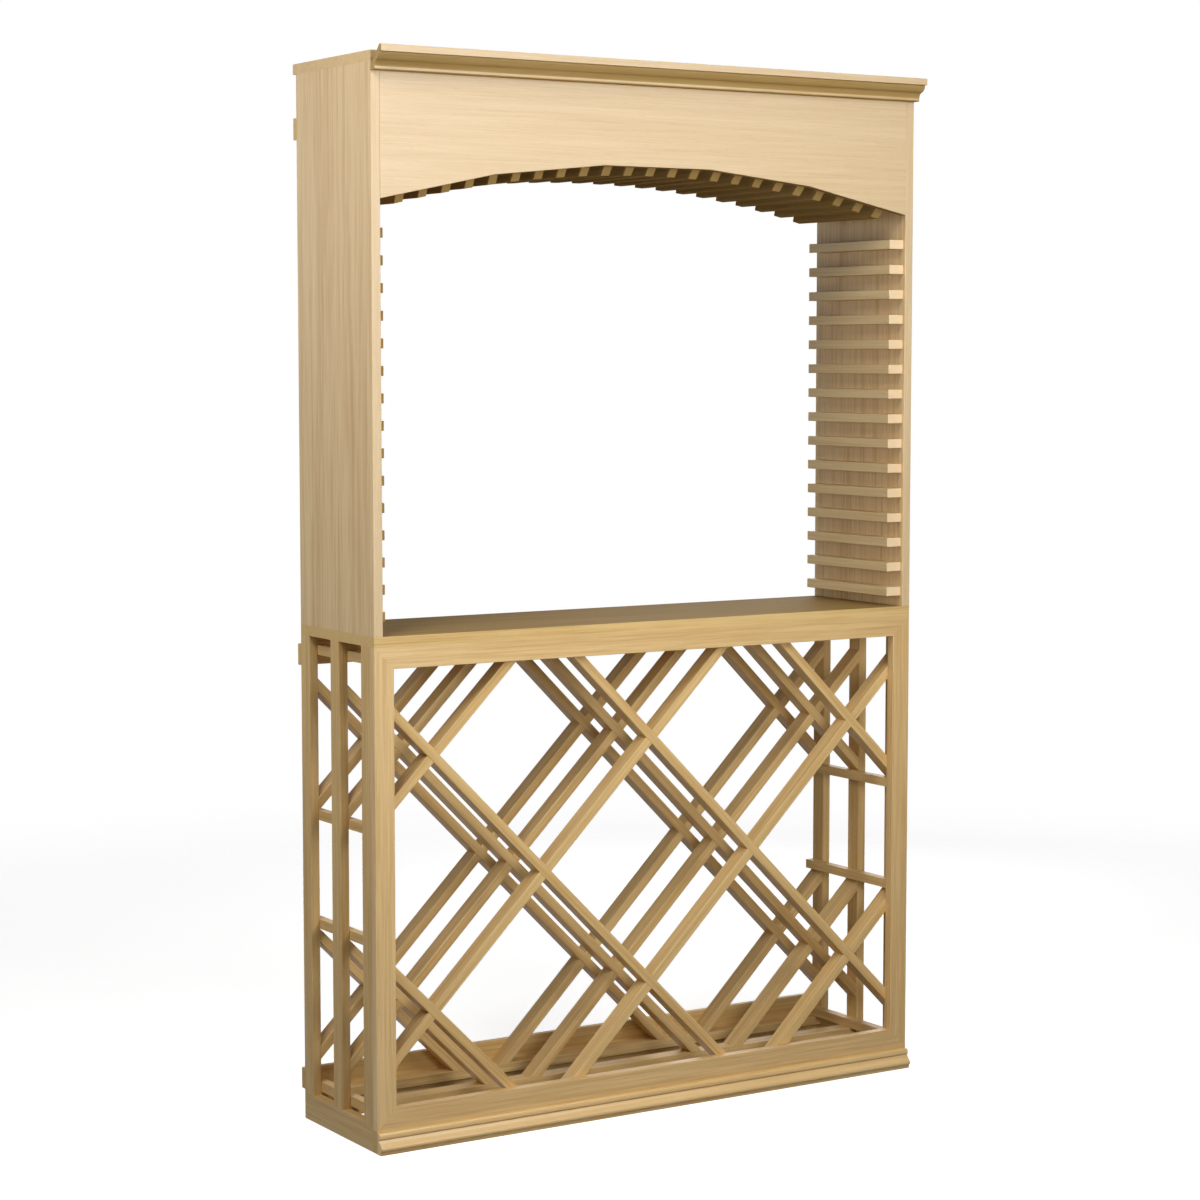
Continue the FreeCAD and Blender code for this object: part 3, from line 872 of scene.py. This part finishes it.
class STATION_OT_battens(Operator):
    """Battens on the inner faces of the side panels"""
    bl_idname = "station.battens"
    bl_label = "Side battens"

    def execute(self, context):
        left = timber(context, "side_battens_left", "batten", BACK)
        # The left battens' front ends take the dark slat finish: painted shade behind the left panel.
        refinish(context, left, "slat", -BACK)
        right = timber(context, "side_battens_right", "batten", BACK)
        refinish(context, right, "ends", -BACK)
        return {"FINISHED"}


class STATION_OT_valance(Operator):
    """Arched board across the top of the front"""
    bl_idname = "station.valance"
    bl_label = "Valance"

    def execute(self, context):
        # The valance's own finish holds painted sheen; its underside takes the dark slat finish as painted
        # shade.
        refinish(context, timber(context, "valance", "valance", ACROSS), "slat", -UP)
        return {"FINISHED"}


class STATION_OT_arch(Operator):
    """Rib behind the valance and arched board at the rear, which carry the slats"""
    bl_idname = "station.arch"
    bl_label = "Arch boards"

    def execute(self, context):
        for node in ("arch_rib_front", "arch_board_rear"):
            timber(context, node, "board", ACROSS)
        return {"FINISHED"}


class STATION_OT_slats(Operator):
    """Slats from front to rear under the arch"""
    bl_idname = "station.slats"
    bl_label = "Arch slats"

    def execute(self, context):
        # The dark slat finish is painted shade under the arch.
        timber(context, "arch_slats", "slat", BACK)
        return {"FINISHED"}


class STATION_OT_top_board(Operator):
    """Board over the whole station"""
    bl_idname = "station.top_board"
    bl_label = "Top board"

    def execute(self, context):
        # The panel finish holds painted sheen.
        timber(context, "top_board", "panel", ACROSS)
        return {"FINISHED"}


class STATION_OT_crown(Operator):
    """Crown moulding along the top of the front, and the glue blocks in the hollow behind it"""
    bl_idname = "station.crown"
    bl_label = "Crown"

    def execute(self, context):
        crown = timber(context, "crown_moulding", "crown", ACROSS, along=ACROSS)
        foot, top = (corner[2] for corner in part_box("crown_moulding"))
        # The crown's dark finish is painted shade in its cove; the bead takes the paler batten finish, the
        # band the valance finish with its painted sheen, and the undersides the dark slat finish as painted
        # shade.
        refinish(context, crown, "batten", -BACK, (foot, foot + CROWN_BEAD))
        refinish(context, crown, "valance", -BACK, (top - CROWN_BAND, top))
        refinish(context, crown, "slat", -UP)
        timber(context, "crown_blocks", "board", ACROSS)
        return {"FINISHED"}


class STATION_OT_cleats(Operator):
    """Cleats across the rear, which hold the station to a wall"""
    bl_idname = "station.cleats"
    bl_label = "Wall cleats"

    def execute(self, context):
        for node in nodes_named("wall_cleat_"):
            timber(context, node, "board", ACROSS)
        return {"FINISHED"}


class STATION_OT_screws(Operator):
    """Countersunk wood screws in the cleats, the table top and the top board"""
    bl_idname = "station.screws"
    bl_label = "Screws"

    def execute(self, context):
        for node in ("wood_screws", "arch_board_screws"):
            screws(context, node)
        return {"FINISHED"}


# Studio lamps, all square: where each hangs, what it points at, its side in metres and its power in watts
LAMPS = {
    "key": ((-1.65, -0.95, 2.9), (0, 0, 1.2), 0.8, 25.8),
    "front": ((-0.4, -1.86, 1.1), (0, 0, 1.0), 0.8, 17.4),
    "upper front": ((0.45, -1.85, 2.1), (0, 0, 1.3), 0.8, 12.4),
    "side": ((-2.39, -0.21, 1.4), (0, 0, 1.0), 1.0, 12.2),
    "fill": ((1.09, -1.56, 2.0), (0, 0, 1.2), 0.8, 6.2),
    "rear": ((1.9, 2.0, 1.4), (0, 0, 1.0), 1.4, 17.0),
}
# The same for lamps that only show in the lacquer
SHEEN_LAMPS = {
    "front sheen": ((-0.1, -1.89, 1.89), (-0.6, -0.13, 1.75), 0.8, 15.0),
    "rear sheen": ((-1.48, 1.78, 1.82), (-0.58, 0, 1.6), 0.8, 3.0),
}


def shown_rays(graph):
    """1 for rays that show the background: from the camera, in a reflection or through a clear surface."""
    path = graph.add("ShaderNodeLightPath").outputs
    shown = graph.math("MAXIMUM", path["Is Camera Ray"], path["Is Glossy Ray"])
    return graph.math("MAXIMUM", shown, path["Is Transmission Ray"])


def pale_floor(stage):
    """Pale floor that takes a shadow near the station and fades into the background further out. A glow that
    lights nothing lifts what shows of it."""
    material, graph = new_material("pale_floor")
    place = graph.add("ShaderNodeTexCoord").outputs["Object"]
    radius = graph.add("ShaderNodeVectorMath", {0: place}, operation="LENGTH").outputs["Value"]
    shown = shown_rays(graph)
    colour = graph.mix(shown, opaque(stage.floor_bounce), opaque(stage.floor_colour))
    matt = graph.add("ShaderNodeBsdfDiffuse", {"Color": colour})
    lift = graph.math("MULTIPLY", shown, stage.floor_lift)
    glow = graph.add("ShaderNodeEmission", {"Strength": lift})
    lifted = graph.add("ShaderNodeAddShader", {0: matt.outputs[0], 1: glow.outputs[0]})
    clear = graph.add("ShaderNodeBsdfTransparent")
    faded = graph.span(radius, FADE_START * stage.floor_radius, FADE_END * stage.floor_radius)
    blend = graph.add("ShaderNodeMixShader", {0: faded, 1: lifted.outputs[0], 2: clear.outputs[0]})
    graph.add("ShaderNodeOutputMaterial", {"Surface": blend.outputs[0]})
    return material


def add_floor(stage):
    """Round floor of rings about the origin."""
    mesh = bmesh.new()
    inner = [mesh.verts.new((0, 0, 0))]
    for share in FLOOR_RINGS:
        corners = []
        for i in range(FLOOR_SIDES):
            angle = 2 * math.pi * i / FLOOR_SIDES
            radius = share * stage.floor_radius
            corners.append(mesh.verts.new((radius * math.cos(angle), radius * math.sin(angle), 0)))
        for i in range(FLOOR_SIDES):
            j = (i + 1) % FLOOR_SIDES
            near = [inner[0]] if len(inner) == 1 else [inner[j], inner[i]]
            mesh.faces.new(near + [corners[i], corners[j]])
        inner = corners
    floor = bpy.data.objects.new("floor", bpy.data.meshes.new("floor"))
    mesh.to_mesh(floor.data)
    mesh.free()
    floor.data.materials.append(pale_floor(stage))
    bpy.context.scene.collection.objects.link(floor)


def add_world(stage):
    """Dim even light, with a white background."""
    world = bpy.data.worlds.new("studio")
    world.use_nodes = True
    graph = Graph(world.node_tree)
    colour = graph.mix(shown_rays(graph), opaque(stage.sky_colour), WHITE)
    light = graph.add("ShaderNodeBackground", {"Color": colour, "Strength": 1.0})
    graph.add("ShaderNodeOutputWorld", {"Surface": light.outputs[0]})
    bpy.context.scene.world = world


def add_lamp(name, place, aim, size, power):
    lamp = bpy.data.lights.new(name, "AREA")
    lamp.shape = "SQUARE"
    lamp.size = size
    lamp.energy = power
    holder = bpy.data.objects.new(name, lamp)
    holder.location = place
    holder.rotation_euler = (Vector(aim) - Vector(place)).to_track_quat("-Z", "Y").to_euler()
    holder.visible_camera = False
    bpy.context.scene.collection.objects.link(holder)
    return holder


def add_camera(stage):
    camera = bpy.data.cameras.new("photo view")
    camera.sensor_width = SENSOR_WIDTH
    camera.lens = stage.camera_lens
    camera.dof.use_dof = False
    holder = bpy.data.objects.new("photo view", camera)
    holder.location = stage.camera_place
    holder.rotation_euler = (math.pi / 2 - stage.camera_tilt, 0, -stage.camera_heading)
    bpy.context.scene.collection.objects.link(holder)
    bpy.context.scene.camera = holder


class STATION_OT_stage(Operator):
    """Pale floor, white background, soft lamps and the camera"""
    bl_idname = "station.stage"
    bl_label = "Studio"

    def execute(self, context):
        stage = context.scene.station_stage
        add_floor(stage)
        add_world(stage)
        for name, (place, aim, size, power) in LAMPS.items():
            add_lamp(name + " light", place, aim, size, power * stage.light_level)
        for name, (place, aim, size, power) in SHEEN_LAMPS.items():
            add_lamp(name + " light", place, aim, size, power * stage.sheen_level).visible_diffuse = False
        add_camera(stage)
        context.scene.view_settings.view_transform = "Standard"
        return {"FINISHED"}


OPERATORS = (
    STATION_OT_plinth, STATION_OT_base_moulding, STATION_OT_posts, STATION_OT_side_rails,
    STATION_OT_stretchers, STATION_OT_lattice, STATION_OT_face_frame, STATION_OT_table_top,
    STATION_OT_side_panels, STATION_OT_battens, STATION_OT_valance, STATION_OT_arch, STATION_OT_slats,
    STATION_OT_top_board, STATION_OT_crown, STATION_OT_cleats, STATION_OT_screws, STATION_OT_stage,
)

SETTINGS = {
    "station_wood": WoodSettings,
    "station_edges": EdgeSettings,
    "station_screws": ScrewSettings,
    "station_stage": StageSettings,
}


class STATION_PT_finish(Panel):
    """Settings and steps of the station's finish"""
    bl_idname = "STATION_PT_finish"
    bl_label = "Tasting station"
    bl_space_type = "VIEW_3D"
    bl_region_type = "UI"
    bl_category = "Station"

    def draw(self, context):
        for name, group in SETTINGS.items():
            box = self.layout.box()
            for setting in group.__annotations__:
                box.prop(getattr(context.scene, name), setting)
        for operator in OPERATORS:
            self.layout.operator(operator.bl_idname)


CLASSES = (*SETTINGS.values(), *OPERATORS, STATION_PT_finish)


def register():
    for item in CLASSES:
        bpy.utils.register_class(item)
    for name, group in SETTINGS.items():
        setattr(bpy.types.Scene, name, PointerProperty(type=group))


def unregister():
    for name in SETTINGS:
        delattr(bpy.types.Scene, name)
    for item in reversed(CLASSES):
        bpy.utils.unregister_class(item)


def main():
    register()
    for operator in OPERATORS:
        group, name = operator.bl_idname.split(".")
        getattr(getattr(bpy.ops, group), name)()


if __name__ == "__main__":
    main()
